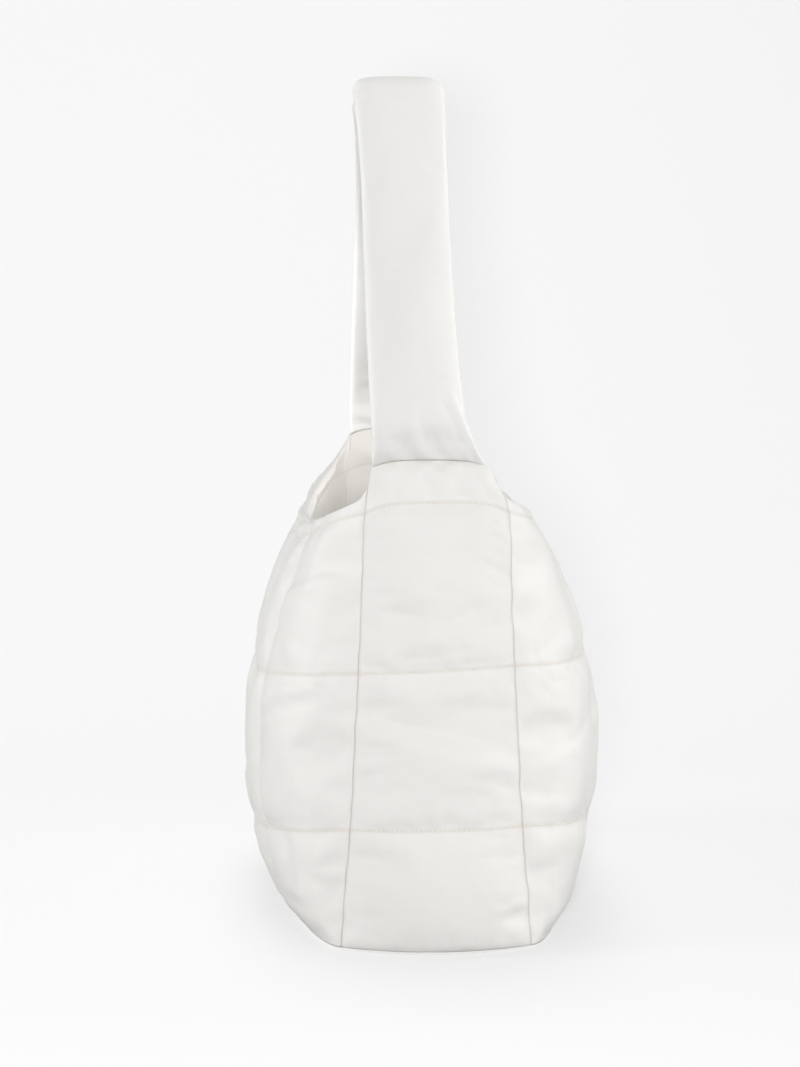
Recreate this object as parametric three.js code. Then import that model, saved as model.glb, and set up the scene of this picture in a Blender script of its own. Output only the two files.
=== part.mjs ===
// Puffer bag: a soft shopper of quilted, padded fabric, standing on its base with its wide strap raised.
// Millimetres, +Z up. The side gussets are at +X and -X, the front is -Y, and the bag stands on Z = 0.

import * as THREE from "three";

// Driving dimensions
const halfLength = 200; // middle of the bag to a gusset's seams
const wallThickness = 4; // padded wall where stitches press it flat
const outerPuff = 6; // rise of a quilted cell outside its stitches
const innerPuff = 4; // and inside them
const basePuff = 10; // the base swells more, and the surface under it presses it flat
const seamGap = 0.3; // each piece stops this far short of a seam that it shares
const floorClearance = 0.4; // lowest point of the faces and gussets
const bulgePower = 0.625; // how squarely a face swells out from its gusset seams
const sinkPower = 1.7; // how evenly a quilt line sinks from its gusset seams to mid length
const rimSlump = 0.45; // the rim sinks faster than that near the +X end
const farSlump = 0.78; // and less fast near the other
const cellSquareness = 3; // how evenly a quilted cell swells between its stitches
const seamTilt = 0.5; // how far the walls turn towards each other at a seam
const endTurn = 0.75; // share of a half length where a face starts to turn towards its gusset
const edgeTurn = 0.6; // share of a half width where a gusset or the base starts to turn towards a face
const strapSquareness = 0.6; // 1 would make the strap's section an ellipse, and less makes it fuller
const strapSteps = 48;
const strapSides = 14;
const slopeReach = 0.05; // the strap's slope is read this far to either side, in stations

const fabric = { color: 0xefece6, roughness: 0.62, metalness: 0 };
const strapFabric = { color: 0xf2f0eb, roughness: 0.62, metalness: 0 };

// Levels of the body, from the base seam up to the rim, at a gusset's seams: height, half width of the
// gusset, how far its middle bows out (crown) and up (lift), its lean along Y, and how far its back seam runs
// above its middle, and its front seam below (tilt).
const endLevels = [
  { name: "base", endHeight: 3, endHalf: 61, crown: 17, lift: 0, endLean: 0, tilt: 0 },
  { name: "foot", endHeight: 41, endHalf: 58.5, crown: 15, lift: 0, endLean: 0, tilt: 0 },
  { name: "line 3", endHeight: 79.7, endHalf: 55, crown: 9, lift: 0, endLean: 0, tilt: 0.7 },
  { name: "belly", endHeight: 131, endHalf: 52.3, crown: 8, lift: 0, endLean: 0, tilt: 1.5 },
  { name: "line 2", endHeight: 181.2, endHalf: 49.7, crown: 5, lift: 0, endLean: 0, tilt: 2.2 },
  { name: "chest", endHeight: 231, endHalf: 47.7, crown: 4, lift: 2, endLean: 0, tilt: 1.2 },
  { name: "line 1", endHeight: 280.5, endHalf: 45.7, crown: 1, lift: 7, endLean: 0, tilt: 0.3 },
  { name: "rim", endHeight: 309, endHalf: 37.8, crown: 0, lift: 5, endLean: -4, tilt: 0 },
];

// The same levels at mid length: height and half thickness of the bag at the stitches, fullness of the way
// there from the gusset, lean towards the front, and how much higher the level runs at the back.
const midLevels = [
  { name: "base", midHeight: 3, midHalf: 92, fullness: 2, midLean: 0, backRise: 0 },
  { name: "foot", midHeight: 28.5, midHalf: 102.3, fullness: 2.3, midLean: -0.5, backRise: 5 },
  { name: "line 3", midHeight: 57.5, midHalf: 110.6, fullness: 2.6, midLean: 0, backRise: 10 },
  { name: "belly", midHeight: 110, midHalf: 111.8, fullness: 3, midLean: -1.2, backRise: 13 },
  { name: "line 2", midHeight: 162, midHalf: 106.7, fullness: 3, midLean: -2, backRise: 16 },
  { name: "chest", midHeight: 211.5, midHalf: 91.5, fullness: 2.6, midLean: -3, backRise: 9 },
  { name: "line 1", midHeight: 250, midHalf: 77.2, fullness: 1.75, midLean: -4.5, backRise: 8 },
  { name: "rim", midHeight: 263.5, midHalf: 73.5, fullness: 1.75, midLean: -7.5, backRise: 8 },
];
const quiltLines = [0, 2, 4, 6, 7]; // levels where the rows of cells begin and end
const rowSteps = [6, 6, 6, 3];
const rowSwell = [1, 1, 1, 0.5]; // the low top row swells less than the others
const columnLines = [-1, -0.5, 0, 0.5, 1]; // quilt lines up a face and across the base, in half lengths
const columnSteps = 6;
const gussetSteps = 8;

// Stations of the strap, from the gusset seam to its fold: place, shift towards the front, width, thickness.
const strapStations = [
  { name: "seam", x: 198, z: 310, shift: -4.5, width: 72, thickness: 7 },
  { name: "neck", x: 196, z: 323, shift: -8, width: 65, thickness: 11 },
  { name: "root", x: 183, z: 346, shift: -11, width: 60, thickness: 15 },
  { name: "low", x: 130, z: 397, shift: -12, width: 59, thickness: 16 },
  { name: "half way", x: 82, z: 447, shift: -12, width: 59, thickness: 16 },
  { name: "high", x: 48, z: 490, shift: -12, width: 59, thickness: 16 },
  { name: "bend", x: 20, z: 534, shift: -13, width: 61, thickness: 15 },
  { name: "fold", x: 0, z: 558, shift: -15, width: 66, thickness: 15 },
];

const { lerp, smoothstep } = THREE.MathUtils;

// A column of a table as a smooth function of the row, which need not be whole.
function columnOf(table, column) {
  const curve = new THREE.SplineCurve(table.map((row, i) => new THREE.Vector2(i, row[column])));
  return (row) => curve.getPoint(row / (table.length - 1)).y;
}

function columnsOf(table) {
  const names = Object.keys(table[0]).filter((name) => name !== "name");
  return Object.fromEntries(names.map((name) => [name, columnOf(table, name)]));
}

const body = { ...columnsOf(endLevels), ...columnsOf(midLevels) };
const rimLevel = endLevels.length - 1;

// Stations along a run of cells, with the given number of steps in each.
function stations(lines, steps) {
  const places = [lines[0]];
  for (let cell = 0; cell + 1 < lines.length; cell += 1) {
    const count = Array.isArray(steps) ? steps[cell] : steps;
    for (let step = 1; step <= count; step += 1) {
      places.push(lerp(lines[cell], lines[cell + 1], step / count));
    }
  }
  return places;
}

// The end columns take shorter steps towards the gusset, where the face turns.
function tightenEnds(u) {
  const inner = columnLines[3];
  const size = Math.abs(u);
  if (size <= inner) return u;
  const share = (size - inner) / (1 - inner);
  return Math.sign(u) * (inner + (1 - inner) * Math.sin((share * Math.PI) / 2));
}

const rows = stations(quiltLines, rowSteps);
const columns = stations(columnLines, columnSteps).map(tightenEnds);
const across = stations([-1, 1], gussetSteps);

// Rise of a quilted cell, from 0 at its stitches to 1, or its share of that, at its middle.
function puff(place, lines, swell = []) {
  const cell = Math.max(1, lines.findIndex((line) => place <= line));
  const share = (place - lines[cell - 1]) / (lines[cell] - lines[cell - 1]);
  return (swell[cell - 1] ?? 1) * (1 - Math.abs(2 * share - 1) ** cellSquareness);
}

const nearEnd = (u) => smoothstep(Math.abs(u), endTurn, 1);
const nearEdge = (e) => smoothstep(Math.abs(e), edgeTurn, 1);
const nearBase = (level) => 1 - smoothstep(level, 0, 1);

// The way out through a wall. Walls that share a seam give it the same value there, and meet in a mitre.
function wayOut(towardsEnd, towardsFace, towardsFloor) {
  return new THREE.Vector3(towardsEnd, seamTilt * towardsFace, -towardsFloor).normalize();
}

// Outer and inner point of a wall, from its point at the stitches.
function wall(point, out, cell, rise, floor) {
  const outer = point.clone().addScaledVector(out, rise * cell);
  const inner = point.clone().addScaledVector(out, -(wallThickness + innerPuff * cell));
  outer.z = Math.max(outer.z, floor);
  return { outer, inner };
}

// How far a face has swollen out from its gusset seams, 0 there and 1 at mid length.
function bulgeAt(u, level) {
  return (1 - Math.abs(u) ** body.fullness(level)) ** bulgePower;
}

function halfAt(u, level) {
  return lerp(body.endHalf(level), body.midHalf(level), bulgeAt(u, level));
}

// How far a level has sunk from its gusset seams: evenly along the quilt lines, and in a slump at the rim.
function sinkAt(u, level) {
  const slump = bulgeAt(u, level) ** (u > 0 ? rimSlump : farSlump);
  return lerp(1 - Math.abs(u) ** sinkPower, slump, smoothstep(level, rimLevel - 1, rimLevel));
}

// A gusset's levels arch up between its seams, flat in the middle and steep at the seams.
const archAt = (e) => 1 - e ** 4;

function faceWall(u, level, side) {
  const midHeight = body.midHeight(level) + (side > 0 ? body.backRise(level) : 0);
  const bulge = bulgeAt(u, level);
  const height = lerp(body.endHeight(level) + side * body.tilt(level), midHeight, sinkAt(u, level));
  const lean = lerp(body.endLean(level), body.midLean(level), bulge);
  const point = new THREE.Vector3(u * halfLength, side * halfAt(u, level) + lean, height);
  if (Math.abs(u) === 1) point.y += side * seamGap;
  if (level === 0) point.z += seamGap;
  const out = wayOut(Math.sign(u) * nearEnd(u), side, nearBase(level));
  const cell = puff(u, columnLines) * puff(level, quiltLines, rowSwell);
  return wall(point, out, cell, outerPuff, floorClearance);
}

function gussetWall(e, level, end) {
  const reach = halfLength + body.crown(level) * (1 - e * e);
  const y = e * (body.endHalf(level) - seamGap) + body.endLean(level);
  const height = body.endHeight(level) + body.tilt(level) * e + body.lift(level) * archAt(e);
  const point = new THREE.Vector3(end * reach, y, height);
  if (level === 0) point.z += seamGap;
  const out = wayOut(end, Math.sign(e) * nearEdge(e), nearBase(level));
  const cell = puff(e, [-1, 1]) * puff(level, quiltLines, rowSwell);
  return wall(point, out, cell, outerPuff, floorClearance);
}

function baseWall(u, e) {
  const reach = halfLength + body.crown(0) * (1 - e * e) - seamGap;
  const y = e * (halfAt(u, 0) - seamGap);
  const point = new THREE.Vector3(u * reach, y, body.endHeight(0));
  const out = wayOut(Math.sign(u) * nearEnd(u), Math.sign(e) * nearEdge(e), 1);
  return wall(point, out, puff(u, columnLines) * puff(e, [-1, 1]), basePuff, 0);
}

function solidFrom(points, triangles) {
  let volume = 0;
  for (const [a, b, c] of triangles) {
    volume += points[a].dot(points[b].clone().cross(points[c]));
  }
  const facingOut = volume > 0 ? triangles : triangles.map(([a, b, c]) => [a, c, b]);
  const geometry = new THREE.BufferGeometry().setFromPoints(points);
  geometry.setIndex(facingOut.flat());
  geometry.computeVertexNormals();
  return geometry;
}

// Two triangles between the runs a-b and d-c.
function quad(triangles, a, b, c, d) {
  triangles.push([a, b, c], [a, c, d]);
}

// A closed padded sheet: its outer skin, its inner skin, and an edge that joins them all round.
function paddedSheet(wallAt, firstStations, secondStations) {
  const width = secondStations.length;
  const wallsAlong = (first) => secondStations.map((second) => wallAt(first, second));
  const walls = firstStations.flatMap(wallsAlong);
  const points = [...walls.map((w) => w.outer), ...walls.map((w) => w.inner)];
  const innerFrom = walls.length;
  const triangles = [];
  const last = firstStations.length - 1;
  for (let i = 0; i < last; i += 1) {
    for (let j = 0; j + 1 < width; j += 1) {
      const corners = [i * width + j, i * width + j + 1, (i + 1) * width + j + 1, (i + 1) * width + j];
      quad(triangles, ...corners);
      quad(triangles, ...corners.map((corner) => corner + innerFrom).reverse());
    }
  }
  const edge = [];
  for (let j = 0; j < width; j += 1) edge.push(j);
  for (let i = 1; i <= last; i += 1) edge.push(i * width + width - 1);
  for (let j = width - 2; j >= 0; j -= 1) edge.push(last * width + j);
  for (let i = last - 1; i > 0; i -= 1) edge.push(i * width);
  edge.forEach((from, k) => {
    const to = edge[(k + 1) % edge.length];
    quad(triangles, to, from, from + innerFrom, to + innerFrom);
  });
  return solidFrom(points, triangles);
}

// A closed tube through rings of equally many points.
function paddedTube(rings) {
  const sides = rings[0].length;
  const points = rings.flat();
  const triangles = [];
  for (let i = 0; i + 1 < rings.length; i += 1) {
    for (let k = 0; k < sides; k += 1) {
      const next = (k + 1) % sides;
      quad(triangles, i * sides + k, i * sides + next, (i + 1) * sides + next, (i + 1) * sides + k);
    }
  }
  closeEnd(triangles, 0, sides, false);
  closeEnd(triangles, (rings.length - 1) * sides, sides, true);
  return solidFrom(points, triangles);
}

// An end of the tube, closed by a ladder of faces from edge to edge, so that it keeps the arch of its seam.
function closeEnd(triangles, first, sides, reversed) {
  for (let k = 0; k < sides / 2; k += 1) {
    const rung = [k, k + 1, sides - k - 1, (sides - k) % sides].map((corner) => first + corner);
    const [a, b, c, d] = reversed ? rung.reverse() : rung;
    for (const triangle of [[a, c, b], [a, d, c]]) {
      if (new Set(triangle).size === 3) triangles.push(triangle);
    }
  }
}

function strapRings() {
  const farHalf = strapStations.slice(0, -1).reverse();
  const whole = [...strapStations, ...farHalf.map((station) => ({ ...station, x: -station.x }))];
  const place = columnsOf(whole);
  const lastStation = whole.length - 1;
  const rings = [];
  for (let step = 0; step <= strapSteps; step += 1) {
    const at = (step / strapSteps) * lastStation;
    const before = Math.max(at - slopeReach, 0);
    const after = Math.min(at + slopeReach, lastStation);
    const along = new THREE.Vector2(place.x(after) - place.x(before), place.z(after) - place.z(before));
    along.normalize();
    const end = step === 0 || step === strapSteps;
    const nearSeam = Math.max(0, 1 - Math.min(at, lastStation - at));
    const ring = [];
    for (let k = 0; k < strapSides; k += 1) {
      const angle = (2 * Math.PI * k) / strapSides;
      const e = Math.sign(Math.cos(angle)) * Math.abs(Math.cos(angle)) ** strapSquareness;
      const off = (place.thickness(at) / 2) * Math.sin(angle);
      const lift = body.lift(rimLevel) * archAt(e) * nearSeam;
      const x = place.x(at) + (end ? off * Math.sign(place.x(at)) : along.y * off);
      const z = place.z(at) + (end ? 0 : -along.x * off) + lift;
      ring.push(new THREE.Vector3(x, place.shift(at) + (e * place.width(at)) / 2, z));
    }
    rings.push(ring);
  }
  return rings;
}

function piece(name, geometry, look) {
  const mesh = new THREE.Mesh(geometry, new THREE.MeshStandardMaterial(look));
  mesh.name = name;
  return mesh;
}

const bag = new THREE.Group();
for (const [name, side] of [["front_panel", -1], ["back_panel", 1]]) {
  bag.add(piece(name, paddedSheet((level, u) => faceWall(u, level, side), rows, columns), fabric));
}
for (const [name, end] of [["side_gusset_right", 1], ["side_gusset_left", -1]]) {
  bag.add(piece(name, paddedSheet((level, e) => gussetWall(e, level, end), rows, across), fabric));
}
bag.add(piece("base_panel", paddedSheet((e, u) => baseWall(u, e), across, columns), fabric));
bag.add(piece("strap", paddedTube(strapRings()), strapFabric));

export default bag;
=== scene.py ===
import math

import bpy
import numpy as np
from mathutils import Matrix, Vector, noise


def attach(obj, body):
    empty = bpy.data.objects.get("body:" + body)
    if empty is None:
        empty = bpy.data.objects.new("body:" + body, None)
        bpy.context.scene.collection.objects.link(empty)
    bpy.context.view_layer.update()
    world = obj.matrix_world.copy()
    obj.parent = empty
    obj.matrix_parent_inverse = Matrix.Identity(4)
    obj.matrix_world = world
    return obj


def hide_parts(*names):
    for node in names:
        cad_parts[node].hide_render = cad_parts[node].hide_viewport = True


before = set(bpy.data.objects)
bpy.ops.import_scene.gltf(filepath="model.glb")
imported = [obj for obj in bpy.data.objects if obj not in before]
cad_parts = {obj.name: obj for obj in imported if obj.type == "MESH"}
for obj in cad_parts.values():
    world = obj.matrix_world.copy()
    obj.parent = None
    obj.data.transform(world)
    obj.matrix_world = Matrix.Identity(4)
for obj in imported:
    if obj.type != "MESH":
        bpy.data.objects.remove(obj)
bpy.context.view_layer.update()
scene = bpy.context.scene
print("frame loaded")

mm = 0.001

# The photograph's view, in metres
viewpoint = {"eye": (1.997, -0.1162, 0.427), "target": (-0.0006, -0.0128, 0.25),
             "lens": 96.73, "sensor": 36, "farthest": 30}


def setCamera(view):
    data = bpy.data.cameras.new("camera")
    data.sensor_width = view["sensor"]
    data.lens = view["lens"]
    data.clip_end = view["farthest"]
    camera = bpy.data.objects.new("camera", data)
    scene.collection.objects.link(camera)
    camera.location = view["eye"]
    away = Vector(view["target"]) - Vector(view["eye"])
    camera.rotation_euler = away.to_track_quat("-Z", "Y").to_euler()
    scene.camera = camera


setCamera(viewpoint)


# Body: the levels go from the base seam up to the rim, in millimetres
body = {
    "halfLength": 200, "wall": 4, "outerPuff": 6, "innerPuff": 4, "basePuff": 10,
    "seamGap": 0.05, "floorClearance": 0.4, "bulgePower": 0.625, "sinkPower": 1.7, "rimSlump": 0.45,
    "farSlump": 0.78, "cellSquareness": 3, "seamTilt": 0.5, "endTurn": 0.75, "edgeTurn": 0.6,
    "endHeight": (3, 41, 79.7, 131, 181.2, 231, 280.5, 309),
    "tilt": (0, 0, 0.7, 1.5, 2.2, 1.2, 0.3, 0),
    "endHalf": (61, 58.5, 55, 52.3, 49.7, 47.7, 45.7, 37.8),
    "crown": (17, 15, 9, 8, 5, 4, 1, 0),
    "lift": (0, 0, 0, 0, 0, 2, 7, 5),
    "midHeight": (3, 28.5, 57.5, 110, 162, 211.5, 250, 263.5),
    "midHalf": (92, 102.3, 110.6, 111.8, 106.7, 91.5, 77.2, 73.5),
    "fullness": (2, 2.3, 2.6, 3, 3, 2.6, 1.75, 1.75),
    "endLean": (0, 0, 0, 0, 0, 0, 0, -4),
    "midLean": (0, -0.5, 0, -1.2, -2, -3, -4.5, -7.5),
    "backRise": (0, 5, 10, 13, 16, 9, 8, 8),
    "quiltLines": (0, 2, 4, 6, 7),
    "rowSwell": (1, 1, 1, 0.5),
    "columnLines": (-1, -0.5, 0, 0.5, 1),
    "seamWave": 0.9, "seamPitch": 14, "seamLanes": (300.0, 90.0), "seamFade": 0.5,
    "faceWander": 30, "gussetWander": 8, "stitchNear": 0.1,
}


# A table's values as a smooth curve over its rows
def curveAt(values, row):
    values = np.asarray(values, float)
    last = len(values) - 1
    i = np.clip(np.floor(row).astype(int), 0, last - 1)
    t = row - i
    before, here = values[np.maximum(i - 1, 0)], values[i]
    there, after = values[i + 1], values[np.minimum(i + 2, last)]
    slopeHere, slopeThere = (there - before) / 2, (after - here) / 2
    cubic = 2 * here - 2 * there + slopeHere + slopeThere
    square = 3 * there - 3 * here - 2 * slopeHere - slopeThere
    return ((cubic * t + square) * t + slopeHere) * t + here


def lerp(a, b, share):
    return a + (b - a) * share


def smoothstep(x, low, high):
    t = np.clip((x - low) / (high - low), 0, 1)
    return t * t * (3 - 2 * t)


def unit(vectors):
    return vectors / np.maximum(np.linalg.norm(vectors, axis=-1, keepdims=True), 1e-12)


def stationsAlong(lines, steps):
    places = [lines[0]]
    for first, last, count in zip(lines[:-1], lines[1:], steps):
        places.extend(first + (last - first) * np.arange(1, count + 1) / count)
    return np.array(places)


def puff(place, lines, swell):
    cell = np.clip(np.searchsorted(lines, place), 1, len(lines) - 1)
    lines, swell = np.asarray(lines, float), np.asarray(swell, float)
    share = (place - lines[cell - 1]) / (lines[cell] - lines[cell - 1])
    return swell[cell - 1] * (1 - np.abs(2 * share - 1) ** body["cellSquareness"])


def wayOut(towardsEnd, towardsFace, towardsFloor):
    return unit(np.stack(np.broadcast_arrays(towardsEnd, body["seamTilt"] * towardsFace, -towardsFloor), -1))


def nearEnd(u):
    return np.sign(u) * smoothstep(np.abs(u), body["endTurn"], 1)


def nearEdge(e):
    return np.sign(e) * smoothstep(np.abs(e), body["edgeTurn"], 1)


def nearBase(level):
    return 1 - smoothstep(level, 0, 1)


def bulgeAt(u, level):
    return np.maximum(0, 1 - np.abs(u) ** curveAt(body["fullness"], level)) ** body["bulgePower"]


def halfAt(u, level):
    return lerp(curveAt(body["endHalf"], level), curveAt(body["midHalf"], level), bulgeAt(u, level))


def sinkAt(u, level):
    slump = bulgeAt(u, level) ** np.where(u > 0, body["rimSlump"], body["farSlump"])
    return lerp(1 - np.abs(u) ** body["sinkPower"], slump, smoothstep(level, *body["quiltLines"][-2:]))


def ripple(points, pitch, seed):
    away = Vector((seed, 2 * seed, 3 * seed))
    return np.array([noise.noise(Vector(p) / pitch + away) for p in points.reshape(-1, 3)])


# The sideways wander of a gusset seam, the same for both walls that meet there
def seamWander(level, side, end):
    height = curveAt(body["endHeight"], level)
    sideLane, endLane = body["seamLanes"]
    lane = np.broadcast_arrays(height, sideLane * side + endLane * end, 0.0)
    wander = ripple(np.stack(lane, -1), body["seamPitch"], 7).reshape(height.shape)
    top, fade = body["quiltLines"][-1], body["seamFade"]
    return body["seamWave"] * wander * smoothstep(level, 0, fade) * (1 - smoothstep(level, top - fade, top))


# Each wall gives its points at the stitches, the way out through it, and its cells' swell
def faceWall(u, level, side):
    midHeight = curveAt(body["midHeight"], level) + (side > 0) * curveAt(body["backRise"], level)
    endHeight = curveAt(body["endHeight"], level) + side * curveAt(body["tilt"], level)
    z = lerp(endHeight, midHeight, sinkAt(u, level)) + (level == 0) * body["seamGap"]
    lean = lerp(curveAt(body["endLean"], level), curveAt(body["midLean"], level), bulgeAt(u, level))
    wander = np.abs(u) ** body["faceWander"] * seamWander(level, side, np.sign(u))
    y = side * (halfAt(u, level) + (np.abs(u) == 1) * body["seamGap"]) + lean + wander
    cell = puff(u, body["columnLines"], np.ones(4)) * puff(level, body["quiltLines"], body["rowSwell"])
    return np.stack([u * body["halfLength"], y, z], -1), wayOut(nearEnd(u), side, nearBase(level)), cell


def gussetWall(e, level, end):
    x = end * (body["halfLength"] + curveAt(body["crown"], level) * (1 - e * e))
    wander = np.abs(e) ** body["gussetWander"] * seamWander(level, np.sign(e), end)
    y = e * (curveAt(body["endHalf"], level) - body["seamGap"]) + curveAt(body["endLean"], level) + wander
    arch = curveAt(body["lift"], level) * (1 - e ** 4) + curveAt(body["tilt"], level) * e
    z = curveAt(body["endHeight"], level) + arch + (level == 0) * body["seamGap"]
    cell = puff(e, (-1, 1), np.ones(1)) * puff(level, body["quiltLines"], body["rowSwell"])
    return np.stack([x, y, z], -1), wayOut(end, nearEdge(e), nearBase(level)), cell


def baseWall(u, e):
    level = np.zeros_like(u)
    x = u * (body["halfLength"] + body["crown"][0] * (1 - e * e) - body["seamGap"])
    y = e * (halfAt(u, level) - body["seamGap"])
    cell = puff(u, body["columnLines"], np.ones(4)) * puff(e, (-1, 1), np.ones(1))
    point = np.stack([x, y, level + body["endHeight"][0]], -1)
    return point, wayOut(nearEnd(u), nearEdge(e), np.ones_like(u)), cell


def gridFaces(rows, columns, around=False):
    faces = []
    for i in range(rows - 1):
        for j in range(columns if around else columns - 1):
            k = (j + 1) % columns
            faces.append((i * columns + j, i * columns + k, (i + 1) * columns + k, (i + 1) * columns + j))
    return faces


# Fabric held at its stitches, cut a little too large, and blown out by the filling behind it
def fillCloth(name, start, faces, pinned, slack, fill):
    points = start.reshape(-1, 3) * fill["scale"]
    mesh = bpy.data.meshes.new(name)
    mesh.from_pydata(points.tolist(), [], faces)
    cloth = bpy.data.objects.new(name, mesh)
    scene.collection.objects.link(cloth)
    cloth.vertex_groups.new(name="stitched").add(np.flatnonzero(pinned.ravel()).tolist(), 1, "REPLACE")
    tight = cloth.vertex_groups.new(name="tight")
    for index, share in enumerate(slack.ravel()):
        tight.add([index], 1 - float(share), "REPLACE")
    modifier = cloth.modifiers.new("cloth", "CLOTH")
    settings = modifier.settings
    settings.quality = fill["quality"]
    settings.mass = fill["mass"]
    settings.tension_stiffness = settings.compression_stiffness = fill["stretch"]
    settings.shear_stiffness = fill["shear"]
    settings.bending_stiffness = fill["bending"]
    settings.tension_damping = settings.compression_damping = settings.shear_damping = fill["damping"]
    settings.air_damping = fill["air"]
    settings.vertex_group_mass = "stitched"
    settings.pin_stiffness = 1
    settings.use_pressure = True
    settings.uniform_pressure_force = fill["pressure"]
    settings.vertex_group_shrink = "tight"
    settings.shrink_min, settings.shrink_max = -fill["mostSlack"], -fill["leastSlack"]
    settings.effector_weights.gravity = 0
    modifier.collision_settings.use_collision = False
    modifier.point_cache.frame_end = fill["frames"]
    for number in range(1, fill["frames"] + 1):
        scene.frame_set(number)
    settled = cloth.evaluated_get(bpy.context.evaluated_depsgraph_get())
    result = np.zeros(points.size, np.float32)
    settled.data.vertices.foreach_get("co", result)
    bpy.data.objects.remove(cloth)
    scene.frame_set(1)
    return result.reshape(start.shape).astype(float) / fill["scale"]


# Keeps the cloth within reach of the shape that it was cut for
def capMoves(points, target, cap):
    move = points - target
    size = np.linalg.norm(move, axis=-1, keepdims=True)
    return target + move * (cap * np.tanh(size / cap) / np.maximum(size, 1e-9))


def applyModifier(piece, modifier):
    bpy.ops.object.select_all(action="DESELECT")
    piece.select_set(True)
    bpy.context.view_layer.objects.active = piece
    bpy.ops.object.modifier_apply(modifier=modifier.name)


def meshFrom(name, points, faces):
    mesh = bpy.data.meshes.new(name)
    mesh.from_pydata((points * mm).tolist(), [], faces)
    mesh.polygons.foreach_set("use_smooth", np.ones(len(faces), bool))
    piece = bpy.data.objects.new(name, mesh)
    scene.collection.objects.link(piece)
    return piece


def volumeOf(points, faces):
    corners = points[np.array(faces)]
    a, b, c, d = (corners[:, k] for k in range(4))
    return np.sum(a * np.cross(b, c)) + np.sum(a * np.cross(c, d))


# UV in metres along the cloth, nearness to stitches where shade is painted, the inner skin that is painted
# paler as light inside, and sharp valleys where it is sewn
def dressMesh(piece, flat, stitchShade, litLining, creased):
    mesh = piece.data
    loops = np.zeros(len(mesh.loops), int)
    mesh.loops.foreach_get("vertex_index", loops)
    mesh.uv_layers.new(name="cloth").data.foreach_set("uv", flat[loops].astype(np.float32).ravel())
    for name, values in (("stitchShade", stitchShade), ("litLining", litLining)):
        mesh.attributes.new(name, "FLOAT", "POINT").data.foreach_set("value", values.astype(np.float32))
    edges = np.zeros(len(mesh.edges) * 2, int)
    mesh.edges.foreach_get("vertices", edges)
    sharp = creased(*edges.reshape(-1, 2).T)
    mesh.attributes.new("crease_edge", "FLOAT", "EDGE").data.foreach_set("value", sharp.astype(np.float32))
    modifier = piece.modifiers.new("smooth", "SUBSURF")
    modifier.levels = modifier.render_levels = 1
    applyModifier(piece, modifier)


def paddedShell(name, outer, inner, flat, sewnRows, sewnColumns, openRow, rimRise):
    rows, columns = outer.shape[:2]
    count = rows * columns
    ring = list(range(columns))
    ring += [i * columns + columns - 1 for i in range(1, rows)]
    ring += [(rows - 1) * columns + j for j in range(columns - 2, -1, -1)]
    ring += [i * columns for i in range(rows - 2, 0, -1)]
    ring = np.array(ring)
    middle = (outer.reshape(-1, 3)[ring] + inner.reshape(-1, 3)[ring]) / 2
    if openRow:
        middle[ring // columns == rows - 1, 2] += rimRise
    points = np.concatenate([outer.reshape(-1, 3), inner.reshape(-1, 3), middle])
    sheet = gridFaces(rows, columns)
    faces = sheet + [tuple(v + count for v in reversed(face)) for face in sheet]
    for k, a in enumerate(ring):
        after = (k + 1) % len(ring)
        b, midA, midB = ring[after], 2 * count + k, 2 * count + after
        faces.append((b, a, midA, midB))
        faces.append((midB, midA, a + count, b + count))
    faces = [tuple(int(v) for v in face) for face in faces]
    if volumeOf(points, faces) < 0:
        faces = [tuple(reversed(face)) for face in faces]
    piece = meshFrom(name, points, faces)
    rowOf = np.concatenate([np.tile(np.repeat(np.arange(rows), columns), 2), np.full(len(ring), -1)])
    columnOf = np.concatenate([np.tile(np.tile(np.arange(columns), rows), 2), np.full(len(ring), -1)])
    sewnRow = np.isin(np.arange(rows), sewnRows)
    sewnColumn = np.isin(np.arange(columns), sewnColumns)

    def creased(a, b):
        onSheet = (rowOf[a] >= 0) & (rowOf[b] >= 0) & ((a < count) == (b < count))
        along = (rowOf[a] == rowOf[b]) & sewnRow[rowOf[a]]
        up = (columnOf[a] == columnOf[b]) & sewnColumn[columnOf[a]]
        return (onSheet & (along | up)) * 1.0

    # Points on the sewn lines, the rim left out, take painted shade in the colour
    closed = sewnRows[:-1] if openRow else sewnRows
    toRow = np.abs(flat[:, :1, 1] - flat[None, closed, 0, 1].reshape(1, -1)).min(1)
    near = np.minimum(toRow[:, None], np.abs(flat[:, :, None, 0] - flat[:, None, sewnColumns, 0]).min(2))
    stitchShade = (near < body["stitchNear"] * mm).ravel() * 1.0
    stitchShade = np.concatenate([stitchShade, stitchShade, stitchShade[ring]])
    plan = flat.reshape(-1, 2)
    # The inner skin is marked so that its colour can be painted paler, as painted light inside the bag
    litLining = np.repeat((0.0, 1.0, 0.0), (count, count, len(ring)))
    dressMesh(piece, np.concatenate([plan, plan, plan[ring]]), stitchShade, litLining, creased)
    return piece


# Nylon over filling, in units of 10 mm
quiltCloth = {"scale": 0.1, "quality": 6, "mass": 0.1, "stretch": 60, "shear": 10, "bending": 10,
              "damping": 5, "air": 1, "pressure": 0.07, "mostSlack": 0.022, "leastSlack": 0.0, "frames": 22}
# Front and back: four columns of cells, sewn through along the quilt lines.
# Gathers are rise, pitch and length in millimetres
facePanel = {
    "rowSteps": (20, 26, 26, 9), "columnSteps": (30, 26, 26, 30), "lineRise": 5, "columnRise": 3,
    "startPuff": 0.2, "cap": 5, "rimRise": 1.2, "slackPitch": 35, "roughness": 0.3,
    "gathers": ((1.0, 6, 5), (1.2, 17, 14)), "foldDepth": 1.5, "fill": 0.6, "cloth": quiltCloth,
}
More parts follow.
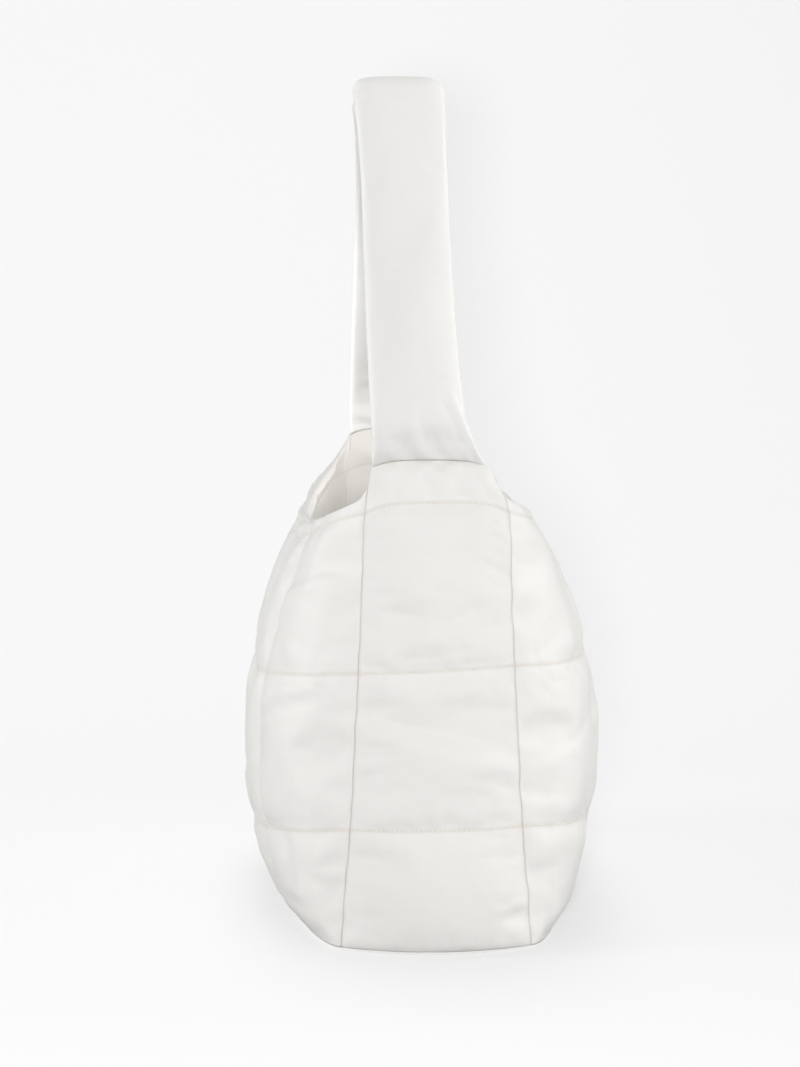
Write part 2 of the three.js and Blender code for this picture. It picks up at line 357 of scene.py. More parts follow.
# Gussets: three quilt lines across, plain seams to the faces
gussetPanel = {
    "rowSteps": (27, 34, 34, 11), "columnSteps": (34,), "lineRise": 2.5, "columnRise": 2.5,
    "startPuff": 0.2, "cap": 5, "slackPitch": 35, "roughness": 0.3,
    "gathers": ((1.3, 6, 5), (0.6, 17, 14)), "foldDepth": 1.1, "fill": 0.6, "cloth": quiltCloth,
}
# Larger folds: from, to, half width and rise, on the flat cloth in millimetres. Each is steeper on the right
# of its run. Those on the near gusset and by its seams are in the photograph
handFolds = {
    "side_gusset_right": (
        ((-50, 153), (44, 129), 17, -4.8), ((-34, 219), (-4, 212), 9, -3.0),
        ((0, 208), (30, 219), 8, -2.8), ((-27, 188), (27, 194), 7, -1.4), ((-45, 233), (-30, 243), 4, -1.6),
        ((-46, 222), (-33, 229), 4, -1.5), ((46, 268), (32, 271), 3, -1.3), ((46, 259), (30, 264), 3, -1.5),
        ((46, 250), (31, 254), 3, -1.5), ((47, 240), (28, 247), 3.4, -1.7), ((47, 230), (30, 235), 3, -1.4),
        ((-54, 62), (-20, 52), 9, -2.6), ((38, 33), (60, 37), 3, -2.0), ((44, 22), (60, 24), 2.6, -1.8),
        ((30, 72), (54, 76), 4, -1.8), ((-50, 112), (-30, 117), 4, -1.4), ((20, 112), (50, 104), 5, -1.3),
    ),
    "front_panel": (
        ((116, 237), (192, 248), 7, -1.5), ((110, 228), (190, 238), 6, 1.1), ((100, 155), (192, 175), 6, 1.4),
        ((98, 146), (190, 164), 6, -1.3), ((128, 26), (195, 31), 3, -1.3), ((150, 205), (196, 190), 5, -1.0),
        ((-150, 120), (-60, 150), 9, -1.6), ((-40, 230), (30, 215), 8, -1.5), ((20, 110), (88, 128), 8, -1.5),
        ((-190, 205), (-120, 225), 6, -1.4), ((-80, 60), (-20, 45), 7, -1.4),
    ),
    "back_panel": (
        ((199, 176), (182, 158), 3, -1.1), ((198, 177), (162, 166), 3, -1.0),
        ((199, 184), (178, 198), 3.4, -1.0), ((150, 140), (195, 120), 7, -1.2),
        ((-30, 130), (60, 150), 9, -1.6), ((-160, 215), (-90, 235), 8, -1.6),
        ((-190, 100), (-120, 120), 7, -1.4), ((30, 240), (90, 225), 6, -1.3), ((40, 55), (90, 40), 6, -1.3),
    ),
    "side_gusset_left": (
        ((-46, 150), (30, 165), 7, -1.5), ((-30, 215), (40, 230), 6, -1.3), ((-50, 50), (10, 60), 7, -1.3),
    ),
}
# Base: quilted across, pressed flat by what it stands on
basePanel = {"rowSteps": (40,), "columnSteps": (30, 26, 26, 30), "roughness": 0.5, "fill": 0.5}
quilting = {"columnFade": 25, "edgeFade": 22, "unevenPitch": 9, "foldSwell": 2.5, "innerShare": 0.4,
            "steepSide": 0.35, "foldFade": (0.2, 0.25),
            "gatherReach": 6, "gatherSlant": 0.2, "gatherLanes": (40, 50.0)}


def tightenEnds(u):
    inner = body["columnLines"][3]
    share = np.clip((np.abs(u) - inner) / (1 - inner), 0, 1)
    return np.where(np.abs(u) <= inner, u, np.sign(u) * (inner + (1 - inner) * np.sin(share * np.pi / 2)))


def sewnAt(steps):
    return np.concatenate([[0], np.cumsum(steps)])


# How far the stitches inside a panel stand out from its seams, fading towards its edges
def stitchRise(flat, panel, sewnColumns):
    x, y = flat[..., 0] / mm, flat[..., 1] / mm
    toSide = np.minimum(x - x[:, :1], x[:, -1:] - x)
    toEnd = np.minimum(y - y[:1], y[-1:] - y)
    toColumn = np.abs(x[:, :, None] - x[:, None, sewnColumns]).min(2)
    rise = lerp(panel.get("columnRise", 0), panel.get("lineRise", 0),
                smoothstep(toColumn, 0, quilting["columnFade"]))
    return rise * smoothstep(np.minimum(toSide, toEnd), 0, quilting["edgeFade"])


# Short folds that run out from the stitches, where the cloth is taken in
def gathersAt(flat, sewnRows, sewnColumns, seed, panel):
    x, y = flat[..., 0] / mm, flat[..., 1] / mm
    rows = [(y - y[line:line + 1], x) for line in sewnRows]
    columns = [(x - x[:, line:line + 1], y) for line in sewnColumns]
    total = np.zeros(x.shape)
    sideLane, lineLane = quilting["gatherLanes"]
    for number, (away, along) in enumerate(rows + columns):
        for rise, pitch, length in panel["gathers"]:
            reach = np.abs(away) / length
            near = (reach > 0) & (reach < quilting["gatherReach"])
            slanted = quilting["gatherSlant"] * away + sideLane * np.sign(away)
            place = np.stack([along, slanted, np.full_like(x, lineLane * number)], -1)[near]
            total[near] += rise * reach[near] * np.exp(1 - reach[near]) * ripple(place, pitch, seed)
    return total


def foldsAt(flat, folds):
    x, y = flat[..., 0] / mm, flat[..., 1] / mm
    total = np.zeros(x.shape)
    beyond, within = quilting["foldFade"]
    for (x0, y0), (x1, y1), width, rise in folds:
        length = np.hypot(x1 - x0, y1 - y0)
        along = ((x - x0) * (x1 - x0) + (y - y0) * (y1 - y0)) / length ** 2
        away = ((y - y0) * (x1 - x0) - (x - x0) * (y1 - y0)) / length
        fade = smoothstep(along, -beyond, within) * (1 - smoothstep(along, 1 - within, 1 + beyond))
        reach = 2 * np.where(away > 0, width, quilting["steepSide"] * width)
        total += rise * fade * np.clip(1 - np.abs(away) / reach, 0, 1) ** 2
    return total


def quiltedSheet(name, wall, rise, sewnRows, sewnColumns, seed, panel, folds, floor):
    point, out, cell, flat = wall
    inner = point - out * (body["wall"] + body["innerPuff"] * cell)[..., None]
    held = stitchRise(flat, panel, sewnColumns)
    outer = point + out * (held + (rise - held) * cell)[..., None]
    pinned = np.zeros(cell.shape, bool)
    pinned[sewnRows] = True
    pinned[:, sewnColumns] = True
    start = point + out * (held + (rise - held) * cell * panel.get("startPuff", 1))[..., None]
    uneven = (panel["roughness"] * ripple(start, quilting["unevenPitch"], seed)).reshape(cell.shape)
    start = start + out * (uneven * ~pinned)[..., None]
    settled = start
    if "cloth" in panel:
        faces = gridFaces(*cell.shape)
        i, j = (n // 2 for n in cell.shape)
        turn = np.cross(start[i, j + 1] - start[i, j], start[i + 1, j] - start[i, j])
        if np.dot(turn, out[i, j]) < 0:
            faces = [tuple(reversed(face)) for face in faces]
        slack = np.clip(0.5 + ripple(point, panel["slackPitch"], seed + 5), 0, 1)
        settled = fillCloth(name, start, faces, pinned, slack, panel["cloth"])
        risen = ((settled - point) * out).sum(-1)
        print(name, "stands out", risen.mean().round(2), "mm, most", risen.max().round(2))
        settled = capMoves(settled, outer, panel["cap"])
    if "gathers" in panel:
        taken = gathersAt(flat, sewnRows, sewnColumns, seed, panel)
        taken = taken + panel["foldDepth"] * foldsAt(flat, folds)
        settled = settled + out * (taken * np.minimum(1, quilting["foldSwell"] * cell))[..., None]
    settled[..., 2] = np.maximum(settled[..., 2], floor)
    return settled, inner + (settled - outer) * quilting["innerShare"]


def faceGrid(side):
    columns = tightenEnds(stationsAlong(body["columnLines"], facePanel["columnSteps"]))
    level, u = np.meshgrid(stationsAlong(body["quiltLines"], facePanel["rowSteps"]), columns, indexing="ij")
    flat = np.stack([u * body["halfLength"], curveAt(body["endHeight"], level)], -1) * mm
    return (*faceWall(u, level, side), flat)


def gussetGrid(end):
    level, e = np.meshgrid(stationsAlong(body["quiltLines"], gussetPanel["rowSteps"]),
                           stationsAlong((-1, 1), gussetPanel["columnSteps"]), indexing="ij")
    flat = np.stack([e * curveAt(body["endHalf"], level), curveAt(body["endHeight"], level)], -1) * mm
    return (*gussetWall(e, level, end), flat)


def baseGrid():
    columns = tightenEnds(stationsAlong(body["columnLines"], basePanel["columnSteps"]))
    e, u = np.meshgrid(stationsAlong((-1, 1), basePanel["rowSteps"]), columns, indexing="ij")
    flat = np.stack([u * body["halfLength"], e * halfAt(u, np.zeros_like(u))], -1) * mm
    return (*baseWall(u, e), flat)


walls = {
    "front_panel": (faceGrid(-1), facePanel, body["outerPuff"], 11),
    "back_panel": (faceGrid(1), facePanel, body["outerPuff"], 23),
    "side_gusset_right": (gussetGrid(1), gussetPanel, body["outerPuff"], 37),
    "side_gusset_left": (gussetGrid(-1), gussetPanel, body["outerPuff"], 41),
    "base_panel": (baseGrid(), basePanel, body["basePuff"], 53),
}
padded, sheets = {}, {}
for node, (wall, panel, rise, seed) in walls.items():
    sewnRows, sewnColumns = sewnAt(panel["rowSteps"]), sewnAt(panel["columnSteps"])
    floor = 0 if node == "base_panel" else body["floorClearance"]
    folds = handFolds.get(node, ())
    outer, inner = quiltedSheet(node + "_cloth", wall, rise, sewnRows, sewnColumns, seed, panel, folds, floor)
    openTop = panel is facePanel
    sheets[node] = (outer, inner, wall[1], sewnRows[1:-1], sewnColumns[1:-1])
    name = node.replace("_panel", "_quilting").replace("side_gusset", "gusset_quilting")
    padded[node] = paddedShell(name, outer, inner, wall[3], sewnRows, sewnColumns, openTop,
                               panel.get("rimRise", 0))
    print("padded", node, len(padded[node].data.polygons), "faces")


# Strap: a padded band from gusset to gusset, folded over at its top, in millimetres
strapCut = {
    "x": (198, 196, 183, 130, 82, 48, 20, 0), "z": (309.1, 323, 346, 397, 447, 490, 534, 558),
    "shift": (-4.5, -8, -11, -12, -12, -12, -13, -15), "width": (72, 65, 60, 59, 59, 59, 61, 66),
    "thickness": (7, 11, 15, 16, 16, 16, 15, 15), "squareness": 0.6, "flatness": 0.7,
    "ringHalf": (30, 8), "sides": 60, "step": 3, "tangentStep": 0.05, "endBlend": 0.3, "fill": 0.7, "cap": 3,
    "uneven": 0.2, "unevenPitch": 9, "pinReach": 1, "seamSlack": 45, "foldSlack": 28, "plainSlack": 0.1,
    "slackPitch": 25, "slackRange": (0.7, 0.8), "outerTurn": 0.2, "edgeBand": (0.5, 0.95),
    "cornerBand": (0.5, 1),
    "gather": 1.6, "gatherPitch": 6.5, "gatherReach": 9, "gatherSlant": 0.15, "gatherLane": 40.0,
    "roundCorner": 4, "cornerReach": 7, "tuck": 2.6, "tuckWidth": 2.6, "tucks": (8, 17, -12), "seamReach": 3,
    "cloth": dict(quiltCloth, bending=12, pressure=0.015, mostSlack=0.02, frames=20),
    "folds": (((20, 46), (33, 5), 2.6, 1.2), ((14, 40), (28, 3), 2.4, -1.3), ((24, 50), (34, 16), 2.2, -1.2),
              ((8, 26), (16, 3), 3, 0.8), ((-31, 30), (-33, 4), 2.6, -0.9), ((-22, 22), (-24, 3), 3, 0.7)),
}


def strapStations(column):
    half = list(strapCut[column])
    sign = -1 if column == "x" else 1
    return half + [sign * value for value in reversed(half[:-1])]


def strapGrid():
    columns = {name: strapStations(name) for name in ("x", "z", "shift", "width", "thickness")}
    last = len(columns["x"]) - 1
    dense = np.linspace(0, last, 2000)
    steps = np.hypot(np.diff(curveAt(columns["x"], dense)), np.diff(curveAt(columns["z"], dense)))
    travel = np.concatenate([[0], np.cumsum(steps)])
    count = int(travel[-1] / strapCut["step"]) // 2 * 2
    at = np.interp(np.linspace(0, travel[-1], count + 1), travel, dense)
    angles = np.linspace(0, 2 * np.pi, 4001)
    ringE = np.sign(np.cos(angles)) * np.abs(np.cos(angles)) ** strapCut["squareness"]
    across, through = strapCut["ringHalf"]
    ringSteps = np.hypot(np.diff(ringE * across), np.diff(np.sin(angles) * through))
    ringPath = np.concatenate([[0], np.cumsum(ringSteps)])
    angle = np.interp(np.arange(strapCut["sides"]) / strapCut["sides"] * ringPath[-1], ringPath, angles)
    e = np.sign(np.cos(angle)) * np.abs(np.cos(angle)) ** strapCut["squareness"]
    turn = np.sign(np.sin(angle)) * np.abs(np.sin(angle)) ** strapCut["flatness"]
    at, e, turn = at[:, None], e[None, :], turn[None, :]
    step = strapCut["tangentStep"]
    before, after = np.maximum(at - step, 0), np.minimum(at + step, last)
    alongX = curveAt(columns["x"], after) - curveAt(columns["x"], before)
    alongZ = curveAt(columns["z"], after) - curveAt(columns["z"], before)
    size = np.hypot(alongX, alongZ)
    fromEnd = np.minimum(at, last - at)
    blend = smoothstep(fromEnd, 0, strapCut["endBlend"])
    upright = np.where(at < last / 2, 1.0, -1.0)
    outX, outZ = lerp(upright, alongZ / size, blend), lerp(0, -alongX / size, blend)
    off = curveAt(columns["thickness"], at) / 2 * turn
    lift = body["lift"][-1] * (1 - e ** 4) * np.maximum(0, 1 - fromEnd)
    x = curveAt(columns["x"], at) + outX * off
    y = curveAt(columns["shift"], at) + e * curveAt(columns["width"], at) / 2
    z = curveAt(columns["z"], at) + outZ * off + lift
    outY = e * np.abs(e) ** 3 * (1 - np.abs(turn))
    out = unit(np.stack(np.broadcast_arrays(outX * turn, outY, outZ * turn), -1))
    return np.stack([x, y, z], -1), out, e[0], turn[0], np.interp(at[:, 0], dense, travel), ringPath[-1]


# The strap's cloth: slack where it is gathered into the gussets and where it folds over
def fillStrap(points, out, e, turn, travel):
    rows, sides = points.shape[:2]
    ends = np.minimum(travel, travel[-1] - travel)[:, None]
    past = (travel[-1] / 2 - travel)[:, None]
    settled = points
    slack = np.exp(-(ends / strapCut["seamSlack"]) ** 2) + np.exp(-(past / strapCut["foldSlack"]) ** 2)
    slack = slack + strapCut["plainSlack"]
    uneven = ripple(points, strapCut["slackPitch"], 61).reshape(rows, sides)
    least, spread = strapCut["slackRange"]
    slack = np.clip(slack * (least + spread * uneven), 0, 1)
    pinned = np.broadcast_to(ends < strapCut["pinReach"], (rows, sides))
    faces = gridFaces(rows, sides, True)
    if volumeOf(points.reshape(-1, 3), faces) < 0:
        faces = [tuple(reversed(face)) for face in faces]
    bumps = strapCut["uneven"] * ripple(points, strapCut["unevenPitch"], 67).reshape(rows, sides, 1)
    start = points + out * bumps * (ends > strapCut["pinReach"])[..., None]
    settled = fillCloth("strap_cloth", start, faces, pinned, slack, strapCut["cloth"])
    settled = capMoves(settled, points, strapCut["cap"])
    print("strap moves", np.linalg.norm(settled - points, axis=-1).mean().round(2), "mm")
    across = points[..., 1] - points[..., 1].mean(1, keepdims=True)
    reach = np.broadcast_to(ends / strapCut["gatherReach"], across.shape)
    half = np.sign(past) * np.where(turn > 0, 1, 2)[None, :]
    slanted = strapCut["gatherSlant"] * ends + 0 * across
    lane = np.stack([across, slanted, strapCut["gatherLane"] * half], -1)
    wave = ripple(lane, strapCut["gatherPitch"], 71).reshape(rows, sides)
    moved = strapCut["gather"] * wave * reach * np.exp(1 - reach)
    flat = np.stack([across, ends + 0 * across], -1) * mm
    moved = moved + foldsAt(flat, strapCut["folds"]) * (turn[None, :] > strapCut["outerTurn"])
    edge = smoothstep(-e, *strapCut["edgeBand"])[None, :]
    for tuck in strapCut["tucks"]:
        moved = moved - strapCut["tuck"] * edge * np.exp(-((past - tuck) / strapCut["tuckWidth"]) ** 2)
    settled = settled + out * moved[..., None]
    corner = strapCut["roundCorner"] * np.exp(-(past / strapCut["cornerReach"]) ** 2)
    settled[..., 1] -= corner * np.sign(e) * smoothstep(np.abs(e), *strapCut["cornerBand"])
    return settled


strapPoints, strapOut, strapE, strapTurn, strapTravel, strapRound = strapGrid()
strapPoints = fillStrap(strapPoints, strapOut, strapE, strapTurn, strapTravel)


def makeStrap(points, travel, around):
    rows, sides = points.shape[:2]
    faces = gridFaces(rows, sides, True)
    for first, turned in ((0, False), ((rows - 1) * sides, True)):
        for k in range(sides // 2):
            rung = [first + v for v in (k, k + 1, sides - k - 1, (sides - k) % sides)]
            rung = list(dict.fromkeys(rung))
            faces.append(tuple(rung if turned else reversed(rung)))
    flatPoints = points.reshape(-1, 3)
    quads = [face if len(face) == 4 else (*face, face[-1]) for face in faces]
    if volumeOf(flatPoints, quads) < 0:
        faces = [tuple(reversed(face)) for face in faces]
    piece = meshFrom("strap_padding", flatPoints, faces)
    plan = np.stack(np.broadcast_arrays(np.arange(sides)[None, :] / sides * around, travel[:, None]), -1) * mm
    ends = np.minimum(travel, travel[-1] - travel)
    # Painted shade darkens the strap's colour next to its seams to the gussets
    stitchShade = np.repeat(np.exp(-(ends / strapCut["seamReach"]) ** 2), sides)
    ringOf = np.repeat(np.arange(rows), sides)

    def creased(a, b):
        return ((ringOf[a] == ringOf[b]) & ((ringOf[a] == 0) | (ringOf[a] == rows - 1))) * 1.0

    dressMesh(piece, plan.reshape(-1, 2), stitchShade, np.zeros(rows * sides), creased)
    return piece


padded["strap"] = makeStrap(strapPoints, strapTravel, strapRound)
print("padded strap", len(padded["strap"].data.polygons), "faces")


# Stitches: short grains of thread along the quilt lines, outside and inside, in millimetres
thread = {"pitch": 3.0, "length": 2.2, "margin": 2, "radius": 0.3, "sides": 6, "proud": 0.12, "sink": 0.45,
          "rings": ((0, 0.4), (0.15, 0.85), (0.5, 1), (0.85, 0.85), (1, 0.4))}


def stitchesAlong(path, out):
    steps = np.linalg.norm(np.diff(path, axis=0), axis=1)
    travel = np.concatenate([[0], np.cumsum(steps)])
    count = int((travel[-1] - thread["margin"]) / thread["pitch"])
    first = (travel[-1] - (count - 1) * thread["pitch"]) / 2
    middle = first + thread["pitch"] * np.arange(count)
    share, size = np.array(thread["rings"]).T
    at = middle[:, None] + (share[None, :] - 0.5) * thread["length"]
    spine = np.stack([np.interp(at, travel, path[:, k]) for k in range(3)], -1)
    up = unit(np.stack([np.interp(at, travel, out[:, k]) for k in range(3)], -1))
    ahead = unit(spine[:, -1:] - spine[:, :1])
    side = unit(np.cross(ahead, up))
    up = np.cross(side, ahead)
    spine = spine + up * (thread["proud"] - thread["sink"] * (2 * share - 1) ** 4)[None, :, None]
    angle = 2 * np.pi * np.arange(thread["sides"]) / thread["sides"]
    ring = thread["radius"] * size[None, :, None, None] * (
        np.cos(angle)[:, None] * side[:, :, None, :] + np.sin(angle)[:, None] * up[:, :, None, :])
    return (spine[:, :, None, :] + ring).reshape(count, -1, 3)


def makeStitches(name, grains):
    rings, sides = len(thread["rings"]), thread["sides"]
    one = gridFaces(rings, sides, True)
    one += [tuple(reversed(range(sides))), tuple(range((rings - 1) * sides, rings * sides))]
    corners = grains.reshape(-1, 3)
    faces = [tuple(v + k * rings * sides for v in face) for k in range(len(grains)) for face in one]
    quads = [face for face in faces[:len(one)] if len(face) == 4]
    if volumeOf(corners - corners[0], quads) < 0:
        faces = [tuple(reversed(face)) for face in faces]
    return meshFrom(name, corners, faces)


stitches = {}
for node, (outer, inner, out, sewnRows, sewnColumns) in sheets.items():
    grains = []
    for skin, way in ((outer, out), (inner, -out)):
        grains += [stitchesAlong(skin[line], way[line]) for line in sewnRows]
        grains += [stitchesAlong(skin[:, line], way[:, line]) for line in sewnColumns]
    name = node.replace("_panel", "_stitches").replace("side_gusset", "gusset_stitches")
    stitches[node] = makeStitches(name, np.concatenate(grains))
    print("seamShadedTone", node, sum(map(len, grains)), "stitches")


# A socket with arithmetic: each expression adds its Math nodes
class Wire:
    def __init__(self, tree, socket):
        self.tree, self.socket = tree, socket

    def node(self, kind, settings=None, sockets=None, out=0):
        made = self.tree.nodes.new(kind)
        for name, value in (settings or {}).items():
            setattr(made, name, value)
        for name, value in (sockets or {}).items():
            if isinstance(value, Wire):
                self.tree.links.new(value.socket, made.inputs[name])
            else:
                made.inputs[name].default_value = value
        return Wire(self.tree, made.outputs[out])

    def maths(self, operation, first, second):
        return self.node("ShaderNodeMath", {"operation": operation}, {0: first, 1: second})

    def __add__(self, other):
        return self.maths("ADD", self, other)

    def __rsub__(self, other):
        return self.maths("SUBTRACT", other, self)

    def __mul__(self, other):
        return self.maths("MULTIPLY", self, other)

    def __pow__(self, other):
        return self.maths("POWER", self, other)


def newMaterial(name):
    material = bpy.data.materials.new(name)
    material.use_nodes = True
    tree = material.node_tree
    shader = next(node for node in tree.nodes if node.type == "BSDF_PRINCIPLED")
    return material, tree, shader


def nylon(name, look):
    material, tree, shader = newMaterial(name)
    start = Wire(tree, None)
    place = start.node("ShaderNodeTexCoord", out="Object")
    cloth = start.node("ShaderNodeTexCoord", out="UV")
    stitchShade = start.node("ShaderNodeAttribute", {"attribute_name": "stitchShade"}, out="Fac")
    cloudy = start.node("ShaderNodeTexNoise", {},
                        {"Vector": place, "Scale": look["cloudScale"], "Detail": 3.0}, "Fac")
    crinkle = start.node("ShaderNodeTexNoise", {}, {"Vector": place, "Scale": look["crinkleScale"],
                                                    "Detail": 4.0, "Roughness": 0.55}, "Fac")
    threads = {"Vector": cloth, "Scale": look["threadScale"], "Distortion": look["threadBend"], "Detail": 1.0}
    warp = start.node("ShaderNodeTexWave", {"wave_type": "BANDS", "bands_direction": "X"}, threads, "Fac")
    weft = start.node("ShaderNodeTexWave", {"wave_type": "BANDS", "bands_direction": "Y"}, threads, "Fac")
    weave = warp * weft
    tone = start.node("ShaderNodeMix", {"data_type": "RGBA"}, {"Factor": cloudy, "A": (*look["pale"], 1),
                                                              "B": (*look["deep"], 1)}, 2)
    # Painted light: the inner skin takes a paler, warmer colour, as if lit inside the bag
    litLining = start.node("ShaderNodeAttribute", {"attribute_name": "litLining"}, out="Fac")
    tone = start.node("ShaderNodeMix", {"data_type": "RGBA"}, {"Factor": litLining, "A": tone,
                                                              "B": (*look["litLining"], 1)}, 2)
    # Painted shade: a tan mixed into the colour along the sewn lines, weaker on the inner skin
    seamShadeShare = stitchShade ** look["narrow"] * (1 - litLining * look["inside"]) * look["seamShadeAmount"]
    seamShadedTone = start.node("ShaderNodeMix", {"data_type": "RGBA"}, {"Factor": seamShadeShare, "A": tone,
                                                              "B": (*look["seam"], 1)}, 2)
    height = crinkle * look["crinkle"] + weave * look["weave"]
    bump = start.node("ShaderNodeBump", {}, {"Strength": look["bump"], "Distance": look["bumpDistance"],
                                             "Height": height})
    tree.links.new(seamShadedTone.socket, shader.inputs["Base Color"])
    tree.links.new((cloudy * look["roughSpread"] + look["roughness"]).socket, shader.inputs["Roughness"])
    tree.links.new(bump.socket, shader.inputs["Normal"])
    shader.inputs["Sheen Weight"].default_value = look["sheen"]
    shader.inputs["Sheen Roughness"].default_value = look["sheenRoughness"]
    shader.inputs["Specular IOR Level"].default_value = look["specular"]
    return material


quiltedLook = {
    # The third colour is painted light: a paler, warmer copy of the nylon for the inner skin
    "pale": (0.85, 0.841, 0.82), "deep": (0.825, 0.813, 0.788), "litLining": (0.93, 0.905, 0.865),
    # Next: the colour, amount and narrowness of the painted shade along the sewn lines, and how much less of
    # it falls on the inner skin
    "seam": (0.62, 0.53, 0.43), "seamShadeAmount": 0.45, "narrow": 3.0, "inside": 0.6,
    "cloudScale": 14.0, "crinkleScale": 90.0, "threadScale": 500.0, "threadBend": 0.4, "crinkle": 1.0,
    "weave": 0.15, "bump": 0.25, "bumpDistance": 0.0012, "roughness": 0.55, "roughSpread": 0.1,
    "sheen": 0.1, "sheenRoughness": 0.5, "specular": 0.3,
}
# The strap's nylon is a paler copy of the body's, painted light for the strap's brighter tone; its crinkle is
# finer
strapLitLook = dict(quiltedLook, pale=(0.86, 0.852, 0.834), deep=(0.845, 0.835, 0.814), crinkleScale=60.0)
quiltedNylon = nylon("quilted_nylon", quiltedLook)
litStrapNylon = nylon("strap_nylon", strapLitLook)


def sewingThread(look):
    material, tree, shader = newMaterial("sewing_thread")
    start = Wire(tree, None)
    place = start.node("ShaderNodeTexCoord", out="Object")
    fibre = start.node("ShaderNodeTexNoise", {},
                       {"Vector": place, "Scale": look["fibreScale"], "Detail": 2.0}, "Fac")
    tone = start.node("ShaderNodeMix", {"data_type": "RGBA"}, {"Factor": fibre, "A": (*look["pale"], 1),
                                                              "B": (*look["deep"], 1)}, 2)
    bump = start.node("ShaderNodeBump", {}, {"Strength": look["bump"], "Distance": look["bumpDistance"],
                                             "Height": fibre})
    tree.links.new(tone.socket, shader.inputs["Base Color"])
    tree.links.new((fibre * look["roughSpread"] + look["roughness"]).socket, shader.inputs["Roughness"])
    tree.links.new(bump.socket, shader.inputs["Normal"])
    shader.inputs["Sheen Weight"].default_value = look["sheen"]
    return material


threadLook = {"pale": (0.87, 0.855, 0.82), "deep": (0.8, 0.775, 0.73), "fibreScale": 3000.0, "bump": 0.3,
              "bumpDistance": 0.0001, "roughness": 0.45, "roughSpread": 0.15, "sheen": 0.1}
threadFinish = sewingThread(threadLook)
for piece in stitches.values():
    piece.data.materials.append(threadFinish)
    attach(piece, "root")
for node, piece in padded.items():
    piece.data.materials.append(litStrapNylon if node == "strap" else quiltedNylon)
    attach(piece, "root")
    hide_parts(node)
    "strap_nylon" if node == "strap" else "quilted_nylon"
    fill = strapCut["fill"] if node == "strap" else walls[node][1]["fill"]
print("pieces dressed")


# Studio: a pale sweep that glows by itself, and soft lights that each act on some of the pieces
studio = {
    "floor": 9.0, "behind": -1.5, "wallHeight": 5.0, "bend": 1.0, "bendSteps": 16, "drop": -0.0004,
    "near": 0.001, "aim": (0, 0, 0.25),
    "pale": 0.3, "glow": 0.573, "sky": 0.32,
    "lights": {
        "front": {"place": (2.4, -0.45, 0.55), "size": 1.0, "power": 24.1, "on": "body"},
        "left": {"place": (0.9, -2.3, 0.62), "size": 1.5, "power": 7.6, "on": "bag"},
        "right": {"place": (0.9, 2.2, 0.62), "size": 1.5, "power": 19.6, "on": "bag"},
        "behindLeft": {"place": (-1.0, -2.0, 1.0), "size": 0.8, "power": 17, "on": "bag"},
        "behindRight": {"place": (-0.8, 2.0, 1.8), "size": 1.2, "power": 22, "on": "bag"},
        "mouth": {"place": (0.3, 1.2, 1.7), "aim": (-0.12, -0.04, 0.25), "angle": 11, "size": 0.2,
                  "power": 48, "on": "inside"},
        "lowLeft": {"place": (0.7, -1.8, 0.06), "size": 1.0, "power": 8, "on": "bag"},
        "lowRight": {"place": (0.7, 1.8, 0.06), "size": 1.0, "power": 8.5, "on": "bag"},
        "band": {"place": (1.3, -0.4, 1.5), "size": 0.6, "power": 12.5, "on": "strap"},
        "leg": {"place": (1.2, -1.6, 0.5), "aim": (-0.15, -0.03, 0.38), "angle": 8, "size": 0.04,
                "power": 98, "on": "strap"},
        "above": {"place": (0.3, 0.0, 6.0), "size": 3.5, "power": 60, "on": "sweep"},
        "back": {"place": (-0.6, -0.1, 2.5), "size": 1.0, "power": 18, "on": "sweep"},
        "shade": {"place": (2.0, -0.18, 0.43), "size": 0.12, "power": 34, "on": "sweep"},
        "side": {"place": (0.6, -3.2, 2.0), "size": 1.5, "power": 35, "on": "sweep"},
    },
}


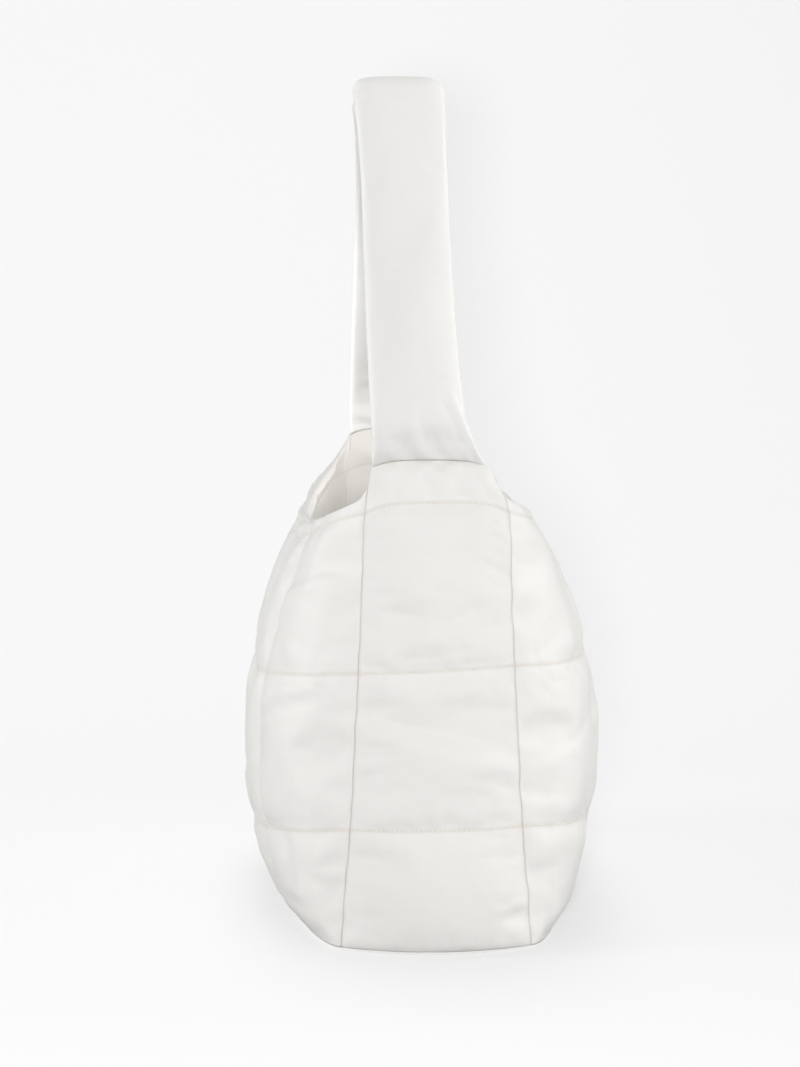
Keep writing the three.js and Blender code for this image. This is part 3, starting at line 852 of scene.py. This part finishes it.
def makeSweep(settings):
    bpy.ops.object.select_all(action="DESELECT")
    bpy.ops.mesh.primitive_plane_add(size=1)
    sweep = bpy.context.object
    sweep.name = "sweep"
    bpy.ops.object.mode_set(mode="EDIT")
    bpy.ops.transform.resize(value=(settings["floor"], settings["floor"], 1))
    bpy.ops.transform.translate(value=(settings["floor"] / 2 + settings["behind"], 0, settings["drop"]))
    bpy.ops.mesh.select_all(action="DESELECT")
    bpy.ops.object.mode_set(mode="OBJECT")
    low = min(v.co.x for v in sweep.data.vertices)
    for edge in sweep.data.edges:
        edge.select = all(abs(sweep.data.vertices[v].co.x - low) < settings["near"] for v in edge.vertices)
    bpy.ops.object.mode_set(mode="EDIT")
    bpy.ops.mesh.select_mode(type="EDGE")
    bpy.ops.mesh.extrude_region_move(TRANSFORM_OT_translate={"value": (0, 0, settings["wallHeight"])})
    bpy.ops.mesh.select_all(action="DESELECT")
    bpy.ops.object.mode_set(mode="OBJECT")
    for edge in sweep.data.edges:
        ends = [sweep.data.vertices[v].co for v in edge.vertices]
        edge.select = all(abs(p.x - low) < settings["near"] and p.z < settings["near"] for p in ends)
    bpy.ops.object.mode_set(mode="EDIT")
    bpy.ops.mesh.bevel(offset=settings["bend"], segments=settings["bendSteps"])
    bpy.ops.object.mode_set(mode="OBJECT")
    bpy.ops.object.shade_smooth()
    material, tree, shader = newMaterial("studio_paper")
    shader.inputs["Base Color"].default_value = (settings["pale"],) * 3 + (1,)
    shader.inputs["Roughness"].default_value = 1
    shader.inputs["Specular IOR Level"].default_value = 0
    shader.inputs["Emission Color"].default_value = (1, 1, 1, 1)
    shader.inputs["Emission Strength"].default_value = settings["glow"]
    # Seen from behind, the paper is clear
    facing = tree.nodes.new("ShaderNodeNewGeometry")
    clear = tree.nodes.new("ShaderNodeBsdfTransparent")
    mix = tree.nodes.new("ShaderNodeMixShader")
    surface = next(node for node in tree.nodes if node.type == "OUTPUT_MATERIAL").inputs["Surface"]
    tree.links.new(facing.outputs["Backfacing"], mix.inputs[0])
    tree.links.new(shader.outputs[0], mix.inputs[1])
    tree.links.new(clear.outputs[0], mix.inputs[2])
    tree.links.new(mix.outputs[0], surface)
    sweep.data.materials.append(material)
    return sweep


def lightStudio(settings, groups):
    lit = {}
    for name, pieces in groups.items():
        lit[name] = bpy.data.collections.new(name)
        for piece in pieces:
            lit[name].objects.link(piece)
    world = bpy.data.worlds.new("studio")
    world.use_nodes = True
    sky = next(node for node in world.node_tree.nodes if node.type == "BACKGROUND")
    sky.inputs["Color"].default_value = (1, 1, 1, 1)
    sky.inputs["Strength"].default_value = settings["sky"]
    scene.world = world
    for name, light in settings["lights"].items():
        data = bpy.data.lights.new(name, "SPOT" if "angle" in light else "AREA")
        if "angle" in light:
            data.spot_size, data.spot_blend = math.radians(light["angle"]), 1
            data.shadow_soft_size = light["size"]
        else:
            data.shape, data.size = "DISK", light["size"]
        data.energy = light["power"]
        lamp = bpy.data.objects.new(name, data)
        scene.collection.objects.link(lamp)
        lamp.location = light["place"]
        lamp.light_linking.receiver_collection = lit[light["on"]]
        towards = Vector(light.get("aim", settings["aim"])) - Vector(light["place"])
        lamp.rotation_euler = towards.to_track_quat("-Z", "Y").to_euler()
    groups["sweep"][0].light_linking.receiver_collection = lit["glowing"]
    scene.view_settings.view_transform = "Standard"


sweep = makeSweep(studio)
inside = [made[node] for made in (padded, stitches) for node in ("front_panel", "side_gusset_left")]
bag = [*padded.values(), *stitches.values()]
lightStudio(studio, {"bag": bag, "body": [piece for piece in bag if piece is not padded["strap"]],
                     "inside": inside, "strap": [padded["strap"]],
                     "sweep": [sweep], "glowing": [sweep, padded["base_panel"], stitches["base_panel"]]})
print("studio set")
